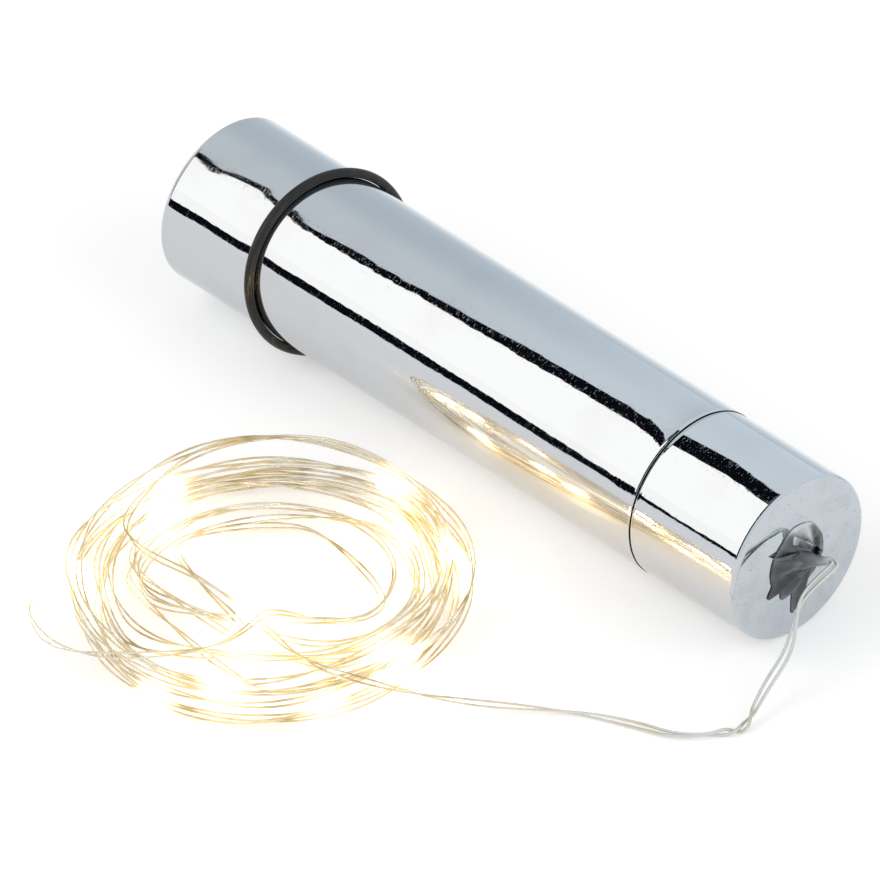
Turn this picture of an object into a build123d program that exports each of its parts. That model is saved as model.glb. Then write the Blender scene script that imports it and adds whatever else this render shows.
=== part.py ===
from build123d import *
from math import asin, ceil, cos, degrees, pi, radians, sin, sqrt, tan
import os

# A string light for a wine bottle: a chromed tube with one AA cell and a small driver board,
# a rubber ring that stops it in the bottle's mouth, and a coil of LED string on its end cap.
# The tube lies along +X, closed end first, on its stop ring and on the rim of its end cap.
# Lengths are in millimetres and angles in degrees.

# Tube and end cap
tube_wall = 0.55
cap_length = 13.8
seam_gap = 0.1
closed_edge_r = 0.6
mouth_edge_r = 0.3
cap_edge_r = 0.4
cap_hole_d = 6.4
press_gap = 0.03

# Stop ring
ring_section = 0.8
ring_gap = 0.02
ring_station = 14.5
ring_yaw = 7.5
ring_pitch = 8.2

# Screw joint between the barrel and the end cap
bush_wall = 0.57
thread_gap = 0.1
thread_reach = 8.4
bush_length = 6.0
collar_seat = 6.0
collar_wall = 1.3
collar_lip = 0.4

# AA cell
cell_d = 14.2
cell_length = 50.3
button_d = 5.2
button_h = 1.4
base_d = 10.4
base_h = 0.3
jacket_t = 0.15
cell_gap = 0.3
liner_t = 0.77
contact_gap = 0.05

# Tail spring and its plate
plate_t = 0.4
spring_wire = 0.7
spring_height = 4.6
spring_wide_r = 5.2
spring_narrow_r = 3.2
spring_turns = 3

# Driver board
board_wall = 0.67
board_t = 1.0
contact_d = 4.8
contact_h = 1.3
foam_rim = 0.4
foam_hole_d = 6.8
lead_hole_d = 0.9
lead_hole_x = 1.6
lead_hole_y = -3.6
inductor_d = 4.4
inductor_h = 3.4
inductor_flange = 0.5
inductor_core_d = 2.0
inductor_x = -2.4
inductor_y = 1.7
driver_chip_l = 2.9
driver_chip_w = 1.6
driver_chip_h = 1.1
driver_chip_x = 2.8
driver_chip_y = 1.9
capacitor_l = 1.25
capacitor_w = 2.0
capacitor_h = 1.25
capacitor_x = 3.9
capacitor_y = -0.6
rectifier_l = 1.3
rectifier_w = 1.7
rectifier_h = 0.8
rectifier_x = -3.9
rectifier_y = -2.2
solder_d = 1.8
solder_h = 0.9
solder_taper = 20.0

# Glue plug
glue_inside_d = 9.6
glue_inside_t = 2.0
glue_reach = 3.2
glue_tip_d = 1.5
glue_lean = 0.4

# LED string
string_d = 0.75
inner_lead_d = 0.7
coil_x = -0.75
coil_y = -32.25
coil_outer_r = 18.7
coil_inner_r = 10.5
coil_layers = 4
layer_turns = 3.5
layer_step = 1.3
climb_turns = 0.5
top_turns = 1.308
coil_start_angle = 188.0
coil_floor_gap = 0.05
led_count = 15
first_led = 72.0
bead_d = 1.5
bead_length = 3.4
chip_length = 1.0
chip_width = 0.5
chip_t = 0.26
tip_overhang = 1.2
glue_run = 1.1
coil_run_in = 3.5
coil_run_out = 3.0
bend_share = 0.45
arc_turns = 0.5

# Radii and stations, a station being a distance along the axis from the closed end.
# The cell and its liner set the tube's bore, and the spring, the cell, the contacts and the
# screw joint add up to its length.
liner_r = cell_d / 2 + cell_gap
bore_r = liner_r + liner_t + press_gap
tube_r = bore_r + tube_wall
thread_r = bore_r - press_gap - bush_wall - thread_gap
collar_bore_r = thread_r - collar_wall
board_r = thread_r - board_wall - press_gap
foam_r = board_r - foam_rim
cell_station = tube_wall + plate_t + spring_height
shoulder_station = cell_station + cell_length - button_h
button_station = cell_station + cell_length
contact_station = button_station + contact_gap
board_station = contact_station + contact_h
board_back = board_station + board_t
collar_station = board_station - collar_lip
seam_station = collar_station + thread_reach
mouth_station = seam_station - seam_gap
tube_length = seam_station + cap_length
glue_station = tube_length - tube_wall - glue_inside_t

# The ring's path is a circle askew round the tube, wide enough to pass it where it slants most
ring_normal = Vector(1, -tan(radians(ring_yaw)), tan(radians(ring_pitch))).normalized()
ring_path_r = (tube_r + ring_gap + ring_section / 2) / ring_normal.X
ring_level = sqrt(1 - ring_normal.Z**2)
ring_low = ring_path_r * ring_level + ring_section / 2
ring_low_station = ring_station + ring_path_r * ring_normal.X * ring_normal.Z / ring_level

# The axis falls towards the end cap, so that ring and cap both meet the surface
tilt = asin((ring_low - tube_r) / (tube_length - cap_edge_r - ring_low_station))
along = Vector(cos(tilt), 0, -sin(tilt))
across = Vector(0, 1, 0)
upward = Vector(sin(tilt), 0, cos(tilt))
rim_height = (tube_r - cap_edge_r) * cos(tilt) + cap_edge_r
end_height = rim_height + (tube_length - cap_edge_r) * sin(tilt)
closed_end = Vector(-(tube_length + glue_reach) / 2 * cos(tilt), 0, end_height)
tube_axis = Axis(closed_end, along)


def station(distance):
    """Plane square to the axis: local x is +Y, local y is up, and its normal points at the end cap."""
    return Plane(origin=closed_end + along * distance, x_dir=across, z_dir=along)


def lengthwise(distance):
    """Plane through the axis: local x runs along the tube from a station, and local y is the radius."""
    return Plane(origin=closed_end + along * distance, x_dir=along, z_dir=-across)


def biarcs(points, tangents):
    """Draw two tangent arcs from each point to the next, leaving and arriving along the tangents."""
    for start, end, leave, arrive in zip(points, points[1:], tangents, tangents[1:]):
        chord = end - start
        turn = 2 * (1 - leave.dot(arrive))
        advance = chord.dot(leave + arrive)
        reach = (sqrt(advance**2 + turn * chord.dot(chord)) - advance) / turn
        middle = (start + end + (leave - arrive) * reach) * 0.5
        TangentArc(start, middle, tangent=leave)
        TangentArc(middle, end, tangent=(end - arrive * reach) - (start + leave * reach))


def bend_radii(points):
    """Largest even bend at each inner point of a route."""
    radii = []
    for before, corner, after in zip(points, points[1:], points[2:]):
        run_in = corner - before
        run_out = after - corner
        shorter = min(run_in.length, run_out.length)
        radii.append(bend_share * shorter / tan(radians(run_in.get_angle(run_out)) / 2))
    return radii


def least_gap(wire, diameter):
    """Smallest clear distance between turns, on points about a third of a diameter apart."""
    count = int(wire.length / diameter * 3)
    apart = 12
    points = [wire.position_at(i / count) for i in range(count + 1)]
    places = [(p.X, p.Y, p.Z) for p in points]
    nearest = min(
        (a[0] - b[0]) ** 2 + (a[1] - b[1]) ** 2 + (a[2] - b[2]) ** 2
        for i, a in enumerate(places)
        for b in places[i + apart :: 3]
    )
    return sqrt(nearest) - diameter


os.makedirs("parts", exist_ok=True)

# Barrel tube: drawn in one piece with its closed end, its mouth rolled in at the seam
with BuildPart() as barrel_tube:
    with BuildSketch(station(0)):
        Circle(tube_r)
    extrude(amount=mouth_station)
    fillet(barrel_tube.edges().group_by(tube_axis)[0], radius=closed_edge_r)
    offset(amount=-tube_wall, openings=barrel_tube.faces().sort_by(tube_axis)[-1])
    mouth_edges = barrel_tube.edges().group_by(tube_axis)[-1]
    fillet(mouth_edges.sort_by(SortBy.RADIUS)[-1], radius=mouth_edge_r)
barrel_tube.part.label = "barrel_tube"
export_step(barrel_tube.part, "parts/barrel_tube.step")

# Spring plate on the closed end's floor
with BuildPart() as spring_plate:
    with BuildSketch(station(tube_wall)):
        Circle(spring_wide_r + spring_wire)
    extrude(amount=plate_t)
spring_plate.part.label = "spring_plate"
export_step(spring_plate.part, "parts/spring_plate.step")

# Tail spring: a cone of round wire from its plate to the cell
spring_points = []
spring_tangents = []
spring_rise = spring_height - spring_wire
spring_half_turns = 2 * spring_turns
for step in range(spring_half_turns + 1):
    share = step / spring_half_turns
    angle = pi * step
    radius = spring_wide_r + (spring_narrow_r - spring_wide_r) * share
    shrink = (spring_narrow_r - spring_wide_r) / (2 * pi * spring_turns)
    height = tube_wall + plate_t + spring_wire / 2 + spring_rise * share
    plane = station(height)
    outward = plane.x_dir * cos(angle) + plane.y_dir * sin(angle)
    sideways = plane.y_dir * cos(angle) - plane.x_dir * sin(angle)
    climb = along * (spring_rise / (2 * pi * spring_turns))
    spring_points.append(plane.origin + outward * radius)
    spring_tangents.append((sideways * radius + outward * shrink + climb).normalized())
with BuildPart() as tail_spring:
    with BuildLine() as spring_path:
        biarcs(spring_points, spring_tangents)
    with BuildSketch(Plane(origin=spring_points[0], z_dir=spring_tangents[0])):
        RegularPolygon(spring_wire / 2, side_count=8)
    sweep()
tail_spring.part.label = "tail_spring"
export_step(tail_spring.part, "parts/tail_spring.step")

# Cell liner: insulating sleeve from the end wall's edge to just short of the collar
liner_station = tube_wall + closed_edge_r
with BuildPart() as cell_liner:
    with BuildSketch(station(liner_station)):
        Circle(bore_r - press_gap)
        Circle(liner_r, mode=Mode.SUBTRACT)
    extrude(amount=collar_station - collar_lip - liner_station)
cell_liner.part.label = "cell_liner"
export_step(cell_liner.part, "parts/cell_liner.step")

# Thread bush in the barrel's mouth
with BuildPart() as thread_bush:
    with BuildSketch(station(mouth_station - bush_length)):
        Circle(bore_r - press_gap)
        Circle(thread_r + thread_gap, mode=Mode.SUBTRACT)
    extrude(amount=bush_length)
    bush_edges = thread_bush.edges().group_by(tube_axis)[-1]
    chamfer(bush_edges.sort_by(SortBy.RADIUS)[0], length=2 * thread_gap)
thread_bush.part.label = "thread_bush"
export_step(thread_bush.part, "parts/thread_bush.step")

# Cell: can with its filling, negative cap, positive button and sleeve
can_r = cell_d / 2 - jacket_t
with BuildPart() as cell_body:
    with BuildSketch(station(cell_station + base_h)):
        Circle(can_r)
    extrude(amount=shoulder_station - cell_station - base_h)
    fillet(cell_body.edges().group_by(tube_axis)[-1], radius=2 * jacket_t)
cell_body.part.label = "cell_body"
export_step(cell_body.part, "parts/cell_body.step")

with BuildPart() as cell_base:
    with BuildSketch(station(cell_station)):
        Circle(base_d / 2)
    extrude(amount=base_h)
cell_base.part.label = "cell_base"
export_step(cell_base.part, "parts/cell_base.step")

with BuildPart() as cell_button:
    with BuildSketch(station(shoulder_station)):
        Circle(button_d / 2)
    extrude(amount=button_h)
    fillet(cell_button.edges().group_by(tube_axis)[-1], radius=button_h / 4)
cell_button.part.label = "cell_button"
export_step(cell_button.part, "parts/cell_button.step")

with BuildPart() as cell_jacket:
    with BuildSketch(station(cell_station + base_h)):
        Circle(cell_d / 2)
        Circle(can_r, mode=Mode.SUBTRACT)
    extrude(amount=shoulder_station - cell_station - base_h - 2 * jacket_t)
cell_jacket.part.label = "cell_jacket"
export_step(cell_jacket.part, "parts/cell_jacket.step")

# Stop ring: rubber ring pushed askew
ring_centre = closed_end + along * ring_station
ring_axis_dir = along * ring_normal.X + across * ring_normal.Y + upward * ring_normal.Z
ring_side = ring_axis_dir.cross(upward).normalized()
with BuildPart() as stop_ring:
    with BuildSketch(Plane(origin=ring_centre, x_dir=ring_side, z_dir=ring_side.cross(ring_axis_dir))):
        with Locations((ring_path_r, 0)):
            Circle(ring_section / 2)
    revolve(axis=Axis(ring_centre, ring_axis_dir))
stop_ring.part.label = "stop_ring"
export_step(stop_ring.part, "parts/stop_ring.step")

# End cap: drawn shell with the string's hole in its face
with BuildPart() as end_cap:
    with BuildSketch(station(seam_station)):
        Circle(tube_r)
    extrude(amount=cap_length)
    fillet(end_cap.edges().group_by(tube_axis)[-1], radius=cap_edge_r)
    offset(amount=-tube_wall, openings=end_cap.faces().sort_by(tube_axis)[0], kind=Kind.INTERSECTION)
    with BuildSketch(station(tube_length)):
        Circle(cap_hole_d / 2)
    extrude(amount=-2 * tube_wall, mode=Mode.SUBTRACT)
end_cap.part.label = "end_cap"
export_step(end_cap.part, "parts/end_cap.step")

# Thread collar: pressed in the cap, with a seat for the driver board in its mouth
with BuildPart() as thread_collar:
    with BuildSketch(station(collar_station)):
        Circle(thread_r)
    extrude(amount=seam_station - collar_station)
    with BuildSketch(station(seam_station)):
        Circle(bore_r - press_gap)
    extrude(amount=collar_seat)
    with BuildSketch(station(collar_station)):
        Circle(collar_bore_r)
    extrude(amount=seam_station + collar_seat - collar_station, mode=Mode.SUBTRACT)
    with BuildSketch(station(collar_station)):
        Circle(board_r + press_gap)
    extrude(amount=board_back - collar_station, mode=Mode.SUBTRACT)
thread_collar.part.label = "thread_collar"
export_step(thread_collar.part, "parts/thread_collar.step")

# Driver board with the two holes of the string's ends
with BuildPart() as driver_board:
    with BuildSketch(station(board_station)):
        Circle(board_r)
        with Locations((-lead_hole_x, lead_hole_y), (lead_hole_x, lead_hole_y)):
            Circle(lead_hole_d / 2, mode=Mode.SUBTRACT)
    extrude(amount=board_t)
driver_board.part.label = "driver_board"
export_step(driver_board.part, "parts/driver_board.step")

# Positive contact, and the foam ring round it that springs the cell off when the cap is loosened
with BuildPart() as positive_contact:
    with BuildSketch(station(contact_station)):
        Circle(contact_d / 2)
    extrude(amount=contact_h)
    fillet(positive_contact.edges().group_by(tube_axis)[0], radius=contact_h / 4)
positive_contact.part.label = "positive_contact"
export_step(positive_contact.part, "parts/positive_contact.step")

with BuildPart() as contact_foam:
    with BuildSketch(station(shoulder_station + contact_gap)):
        Circle(foam_r)
        Circle(foam_hole_d / 2, mode=Mode.SUBTRACT)
    extrude(amount=board_station - shoulder_station - contact_gap)
contact_foam.part.label = "contact_foam"
export_step(contact_foam.part, "parts/contact_foam.step")

# Boost driver on the back of the board: chip, drum inductor, capacitor and rectifier
with BuildPart() as driver_chip:
    with BuildSketch(station(board_back)):
        with Locations((driver_chip_x, driver_chip_y)):
            Rectangle(driver_chip_l, driver_chip_w)
    extrude(amount=driver_chip_h)
driver_chip.part.label = "driver_chip"
export_step(driver_chip.part, "parts/driver_chip.step")

inductor_seat = station(board_back)
inductor_centre = inductor_seat.from_local_coords((inductor_x, inductor_y, 0))
inductor_plane = Plane(origin=inductor_centre, x_dir=along, z_dir=-across)
inductor_axis = Axis(inductor_centre, along)
with BuildPart() as inductor_core:
    with BuildSketch(inductor_plane):
        with BuildLine():
            Polyline(
                (0, 0),
                (0, inductor_d / 2),
                (inductor_flange, inductor_d / 2),
                (inductor_flange, inductor_core_d / 2),
                (inductor_h - inductor_flange, inductor_core_d / 2),
                (inductor_h - inductor_flange, inductor_d / 2),
                (inductor_h, inductor_d / 2),
                (inductor_h, 0),
                close=True,
            )
        make_face()
    revolve(axis=inductor_axis)
inductor_core.part.label = "inductor_core"
export_step(inductor_core.part, "parts/inductor_core.step")

with BuildPart() as inductor_winding:
    with BuildSketch(Plane(origin=inductor_centre + along * inductor_flange, x_dir=across, z_dir=along)):
        Circle(inductor_d / 2 - inductor_flange)
        Circle(inductor_core_d / 2, mode=Mode.SUBTRACT)
    extrude(amount=inductor_h - 2 * inductor_flange)
inductor_winding.part.label = "inductor_winding"
export_step(inductor_winding.part, "parts/inductor_winding.step")

with BuildPart() as capacitor:
    with BuildSketch(station(board_back)):
        with Locations((capacitor_x, capacitor_y)):
            Rectangle(capacitor_l, capacitor_w)
    extrude(amount=capacitor_h)
capacitor.part.label = "capacitor"
export_step(capacitor.part, "parts/capacitor.step")

with BuildPart() as rectifier:
    with BuildSketch(station(board_back)):
        with Locations((rectifier_x, rectifier_y)):
            Rectangle(rectifier_l, rectifier_w)
    extrude(amount=rectifier_h)
rectifier.part.label = "rectifier"
export_step(rectifier.part, "parts/rectifier.step")

# The string's two ends inside the cap, soldered to the board and gripped by the glue
lead_spread = inner_lead_d
lead_sag = (glue_station - board_back) / 3
inner_routes = []
for side in (-1, 1):
    foot = station(board_station).from_local_coords((side * lead_hole_x, lead_hole_y, 0))
    inner_routes.append(
        [
            foot,
            foot + along * (board_t + solder_h + lead_sag),
            station(glue_station - lead_sag).from_local_coords((side * lead_spread, 0, 0)),
            station(glue_station).from_local_coords((side * lead_spread, 0, 0)),
        ]
    )
with BuildPart() as inner_leads:
    for route in inner_routes:
        with BuildLine():
            FilletPolyline(*route, radius=bend_radii(route))
        with BuildSketch(Plane(origin=route[0], z_dir=along)):
            RegularPolygon(inner_lead_d / 2, side_count=6)
        sweep()
inner_leads.part.label = "inner_leads"
export_step(inner_leads.part, "parts/inner_leads.step")

with BuildPart() as solder_joints:
    with BuildSketch(station(board_back)):
        with Locations((-lead_hole_x, lead_hole_y), (lead_hole_x, lead_hole_y)):
            Circle(solder_d / 2)
            Circle(inner_lead_d / 2, mode=Mode.SUBTRACT)
    extrude(amount=solder_h, taper=solder_taper)
solder_joints.part.label = "solder_joints"
export_step(solder_joints.part, "parts/solder_joints.step")

# Glue plug: a pad behind the face, a neck in the hole, and a tip drawn out along the string
with BuildPart() as glue_plug:
    with BuildSketch(lengthwise(glue_station)):
        face = glue_inside_t + tube_wall
        tip = face + glue_reach
        neck_r = cap_hole_d / 2 - press_gap
        with BuildLine():
            Polyline((tip, glue_tip_d / 2), (tip, 0), (0, 0), (0, glue_inside_d / 2))
            Line((0, glue_inside_d / 2), (glue_inside_t - press_gap, glue_inside_d / 2))
            Line((glue_inside_t - press_gap, glue_inside_d / 2), (glue_inside_t - press_gap, neck_r))
            Line((glue_inside_t - press_gap, neck_r), (face, neck_r))
            TangentArc((face, neck_r), (tip, glue_tip_d / 2), tangent=(glue_lean, -1))
        make_face()
    revolve(axis=tube_axis)
glue_plug.part.label = "glue_plug"
export_step(glue_plug.part, "parts/glue_plug.step")

# LED string, from the glue over the surface, across the coil, round it and out to its tip.
# The coil starts on top and winds clockwise and downward, each layer spiralling the other way.
coil_floor = bead_d / 2 + coil_floor_gap
coil_pitch = (coil_outer_r - coil_inner_r) / layer_turns
top_height = coil_floor + (coil_layers - 1) * layer_step
start_r = coil_outer_r - coil_pitch * top_turns

# Stretches of the coil: turns, radius at start and end, layers dropped
stretches = [(top_turns, start_r, coil_outer_r, 0)]
edge_radii = (coil_outer_r, coil_inner_r)
for layer in range(1, coil_layers):
    here = edge_radii[(layer - 1) % 2]
    there = edge_radii[layer % 2]
    stretches.append((climb_turns, here, here, 1))
    stretches.append((layer_turns, here, there, 0))

# Points of the coil about half a turn apart, with their tangents
coil_points = []
coil_tangents = []


def add_coil_point(angle, radius, height, spread):
    """Add one point on the coil: spread is how much the radius grows for each radian wound."""
    outward = Vector(cos(angle), sin(angle), 0)
    clockwise = Vector(sin(angle), -cos(angle), 0)
    coil_points.append(Vector(coil_x, coil_y, height) + outward * radius)
    coil_tangents.append((clockwise * radius + outward * spread).normalized())


angle = radians(coil_start_angle)
height = top_height
for turns, first_r, last_r, drop in stretches:
    pieces = ceil(turns / arc_turns)
    spread = (last_r - first_r) / (2 * pi * turns)
    for piece in range(pieces):
        wound = 2 * pi * turns * piece / pieces
        add_coil_point(angle - wound, first_r + spread * wound, height, spread)
    angle -= 2 * pi * turns
    height -= layer_step * drop
add_coil_point(angle, last_r, height, spread)

glue_tip = closed_end + along * (tube_length + glue_reach)
lead_route = [
    glue_tip,
    glue_tip + along * glue_run,
    Vector(glue_tip.X + 1.6, -1.2, 8.5),
    Vector(glue_tip.X + 1.2, -2.7, 8.35),
    Vector(glue_tip.X + 1.1, -4.0, 7.9),
    Vector(glue_tip.X + 1.4, -4.8, 6.7),
    Vector(glue_tip.X + 2.0, -5.9, 5.4),
    Vector(glue_tip.X + 2.9, -8.3, 3.9),
    Vector(glue_tip.X + 3.7, -11.4, 2.8),
    Vector(glue_tip.X + 4.2, -13.2, 1.5),
    Vector(glue_tip.X + 4.2, -14.9, 0.5),
    Vector(glue_tip.X + 3.3, -17.0, 0.4),
    Vector(41.5, -20.0, 0.4),
    Vector(38.0, -21.3, 0.4),
    Vector(33.0, -23.7, 0.4),
    Vector(28.8, -26.9, 0.5),
    Vector(26.0, -30.8, 1.6),
    Vector(23.8, -35.6, 3.9),
    Vector(20.8, -39.4, 5.8),
    Vector(16.55, -41.65, 6.3),
    Vector(11.55, -41.35, 5.6),
    Vector(6.95, -40.05, 5.0),
    Vector(1.55, -39.05, 4.85),
    Vector(-4.25, -38.95, 4.75),
    Vector(-10.95, -39.95, top_height),
    coil_points[0] - coil_tangents[0] * coil_run_in,
    coil_points[0],
]
tail_route = [
    coil_points[-1],
    coil_points[-1] + coil_tangents[-1] * coil_run_out,
    Vector(6.65, -27.05, 1.3),
    Vector(7.15, -31.15, 2.6),
    Vector(6.25, -35.05, 4.2),
    Vector(5.85, -38.85, 6.2),
    Vector(7.25, -42.65, 6.8),
    Vector(7.25, -46.55, 6.6),
    Vector(3.95, -50.35, 5.9),
    Vector(-0.65, -52.95, 4.6),
    Vector(-5.25, -53.55, 2.9),
    Vector(-9.85, -52.95, 1.3),
    Vector(-14.05, -51.35, coil_floor),
    Vector(-16.35, -48.75, coil_floor),
    Vector(-16.65, -45.75, coil_floor),
]
string_area = 1.5 * sqrt(3) * (string_d / 2) ** 2

with BuildPart() as string_lead:
    with BuildLine() as lead_path:
        FilletPolyline(*lead_route, radius=bend_radii(lead_route))
    with BuildSketch(Plane(origin=lead_route[0], z_dir=along)):
        RegularPolygon(string_d / 2, side_count=6)
    sweep()
string_lead.part.label = "string_lead"
export_step(string_lead.part, "parts/string_lead.step")

with BuildPart() as string_coil:
    with BuildLine() as coil_path:
        biarcs(coil_points, coil_tangents)
    with BuildSketch(Plane(origin=coil_points[0], z_dir=coil_tangents[0])):
        RegularPolygon(string_d / 2, side_count=6)
    sweep()
string_coil.part.label = "string_coil"
export_step(string_coil.part, "parts/string_coil.step")

with BuildPart() as string_tail:
    with BuildLine() as tail_path:
        FilletPolyline(*tail_route, radius=bend_radii(tail_route))
    with BuildSketch(Plane(origin=tail_route[0], z_dir=coil_tangents[-1])):
        RegularPolygon(string_d / 2, side_count=6)
    sweep()
string_tail.part.label = "string_tail"
export_step(string_tail.part, "parts/string_tail.step")

# LED beads at even distances, the first where the lead crosses the coil, the last at the tip
string_wires = [lead_path.wire(), coil_path.wire(), tail_path.wire()]
string_length = sum(wire.length for wire in string_wires)
last_led = string_length - tip_overhang
bead_planes = []
for led in range(led_count):
    distance = first_led + (last_led - first_led) * led / (led_count - 1)
    for wire in string_wires:
        if distance <= wire.length:
            break
        distance -= wire.length
    here = wire.position_at(distance / wire.length)
    heading = wire.tangent_at(distance / wire.length)
    level = heading.cross(Vector(0, 0, 1))
    bead_planes.append(Plane(origin=here, x_dir=heading, z_dir=level))

with BuildPart() as led_beads:
    for plane in bead_planes:
        with BuildSketch(plane):
            with BuildLine():
                Polyline(
                    (-bead_length / 2, 0),
                    (-bead_length / 2, string_d / 2),
                    (-bead_length / 4, bead_d / 2),
                    (bead_length / 4, bead_d / 2),
                    (bead_length / 2, string_d / 2),
                    (bead_length / 2, 0),
                    close=True,
                )
            make_face()
        revolve(axis=Axis(plane.origin, plane.x_dir))
led_beads.part.label = "led_beads"
export_step(led_beads.part, "parts/led_beads.step")

with BuildPart() as led_chips:
    for plane in bead_planes:
        chip_base = plane.origin + plane.y_dir * (string_d / 2)
        with BuildSketch(Plane(origin=chip_base, x_dir=plane.x_dir, z_dir=plane.y_dir)):
            Rectangle(chip_length, chip_width)
        extrude(amount=chip_t)
led_chips.part.label = "led_chips"
export_step(led_chips.part, "parts/led_chips.step")

print("tilt", round(degrees(tilt), 3), "closed end", closed_end, "along", along)
print("lead radii", [round(r, 2) for r in bend_radii(lead_route)])
print("tail radii", [round(r, 2) for r in bend_radii(tail_route)])
for name, piece, wire in zip(("lead", "coil", "tail"), (string_lead, string_coil, string_tail), string_wires):
    share = piece.part.volume / (string_area * wire.length)
    print(name, "length", round(wire.length, 2), "volume over section times length", round(share, 4))
print("string length", round(string_length, 1), "LED pitch", round((last_led - first_led) / (led_count - 1), 1))
print("coil's least gap", round(least_gap(string_wires[1], string_d), 3))
print("spring's least gap", round(least_gap(spring_path.wire(), spring_wire), 3))
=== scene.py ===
import random
from math import cos, exp, log, pi, radians, sin

import bmesh
import bpy
from mathutils import Matrix, Vector


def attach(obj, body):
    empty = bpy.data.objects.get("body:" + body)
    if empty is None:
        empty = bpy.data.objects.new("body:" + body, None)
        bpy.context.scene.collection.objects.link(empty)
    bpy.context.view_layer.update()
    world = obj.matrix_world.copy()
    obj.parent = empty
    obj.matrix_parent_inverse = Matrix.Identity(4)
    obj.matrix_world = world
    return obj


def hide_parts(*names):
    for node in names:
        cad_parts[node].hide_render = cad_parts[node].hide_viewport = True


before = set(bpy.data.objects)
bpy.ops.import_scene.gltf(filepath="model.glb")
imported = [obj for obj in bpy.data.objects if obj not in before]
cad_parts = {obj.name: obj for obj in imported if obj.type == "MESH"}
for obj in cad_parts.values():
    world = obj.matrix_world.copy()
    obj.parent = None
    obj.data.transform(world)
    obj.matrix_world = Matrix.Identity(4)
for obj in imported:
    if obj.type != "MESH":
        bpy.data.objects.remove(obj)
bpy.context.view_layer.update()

# Barrel: a tube drawn from sheet steel with one closed end, polished and chromed all over.
# Its mouth is belled by a few hundredths, and the end cap's skirt meets it in a hairline seam.
# Lengths along the tube are stations in millimetres from the closed end.
mm = 0.001
closed_end = Vector((-41.0958, 0.0, 9.8747)) * mm
along = Vector((0.999897, 0.0, -0.014320))
across = Vector((0.0, 1.0, 0.0))
upward = Vector((0.014320, 0.0, 0.999897))
tube_turn = Matrix((along, across, upward)).transposed().to_4x4()
tube_place = Matrix.Translation(closed_end) @ tube_turn @ Matrix.Scale(mm, 4)
tube_r = 8.75
bore_r = 8.2
wall = 0.55
flat_end_r = 7.9
straight_start = 0.75
mouth_station = 65.1
seam_station = 65.2
face_station = 79.0
bell_start = 60.0
bell_rise = 0.043
bell_steps = 12
bell_shares = [step / bell_steps for step in range(bell_steps + 1)]
bell_corners = [
    (bell_start + (mouth_station - bell_start) * share, tube_r + bell_rise * share ** 3)
    for share in bell_shares
]
barrel_corners = [
    (0.0, 0.0),
    (0.0, flat_end_r),
    (0.0, tube_r),
    (straight_start, tube_r),
    *bell_corners,
    (mouth_station, bore_r),
    (wall, bore_r),
    (wall, 0.0),
]
# Corners of a profile that are rounded: radius and segments
closed_edge, mouth_edge, floor_edge = 2, 4 + bell_steps, 6 + bell_steps
barrel_rounds = {closed_edge: (0.6, 10), mouth_edge: (0.07, 4), floor_edge: (0.05, 2)}


class Signal:
    """A socket in a material's nodes. Arithmetic on it adds Math nodes to that material."""

    def __init__(self, tree, socket=None):
        self.tree = tree
        self.socket = socket

    def node(self, kind, settings, inputs, output=0):
        """Add a node: its settings first, then the values or links of its sockets."""
        made = self.tree.nodes.new(kind)
        for name, value in settings.items():
            if name == "stops":
                while len(made.color_ramp.elements) < len(value):
                    made.color_ramp.elements.new(1.0)
                for stop, (place, colour) in zip(made.color_ramp.elements, value):
                    stop.position = place
                    stop.color = (*colour, 1.0)
            else:
                setattr(made, name, value)
        for name, value in inputs.items():
            if isinstance(value, Signal):
                self.tree.links.new(value.socket, made.inputs[name])
            else:
                made.inputs[name].default_value = value
        return Signal(self.tree, made.outputs[output])

    def math(self, operation, first, second):
        return self.node("ShaderNodeMath", {"operation": operation}, {0: first, 1: second})

    def __add__(self, other):
        return self.math("ADD", self, other)

    def __sub__(self, other):
        return self.math("SUBTRACT", self, other)

    def __rsub__(self, other):
        return self.math("SUBTRACT", other, self)

    def __mul__(self, other):
        return self.math("MULTIPLY", self, other)

    def __gt__(self, other):
        return self.math("GREATER_THAN", self, other)

    __radd__ = __add__
    __rmul__ = __mul__


def new_finish(name, fixed):
    """A material with its fixed values on the shader's own sockets, and a signal to add nodes from."""
    finish = bpy.data.materials.new(name)
    finish.use_nodes = True
    for socket, value in fixed.items():
        finish.node_tree.nodes["Principled BSDF"].inputs[socket].default_value = value
    return finish, Signal(finish.node_tree)


def feed(signal, sockets):
    """Link signals to the shader's sockets."""
    shader = signal.tree.nodes["Principled BSDF"]
    for name, value in sockets.items():
        signal.tree.links.new(value.socket, shader.inputs[name])


def own_place(start):
    """Where a point lies on its own piece, in metres."""
    return start.node("ShaderNodeTexCoord", {}, {}, "Object")


def grain(start, size, detail=3.0, stretch=(1.0, 1.0, 1.0)):
    """Noise on the piece's own place, from 0 to 1, with grains of about that size in millimetres."""
    scale = tuple(1.0 / (size * mm * factor) for factor in stretch)
    spread = start.node("ShaderNodeMapping", {}, {"Vector": own_place(start), "Scale": scale})
    inputs = {"Vector": spread, "Scale": 1.0, "Detail": detail}
    return start.node("ShaderNodeTexNoise", {}, inputs)


def between(signal, low, high, first, second):
    """A value that goes smoothly from the first to the second while a signal goes from low to high."""
    settings = {"interpolation_type": "SMOOTHSTEP"}
    inputs = {"Value": signal, "From Min": low, "From Max": high, "To Min": first, "To Max": second}
    return signal.node("ShaderNodeMapRange", settings, inputs)


def blended(factor, first, second):
    """A colour between two colours or colour signals."""
    pair = [(*c, 1.0) if isinstance(c, tuple) else c for c in (first, second)]
    settings = {"data_type": "RGBA", "blend_type": "MIX"}
    return factor.node("ShaderNodeMix", settings, {0: factor, 6: pair[0], 7: pair[1]}, 2)


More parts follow.
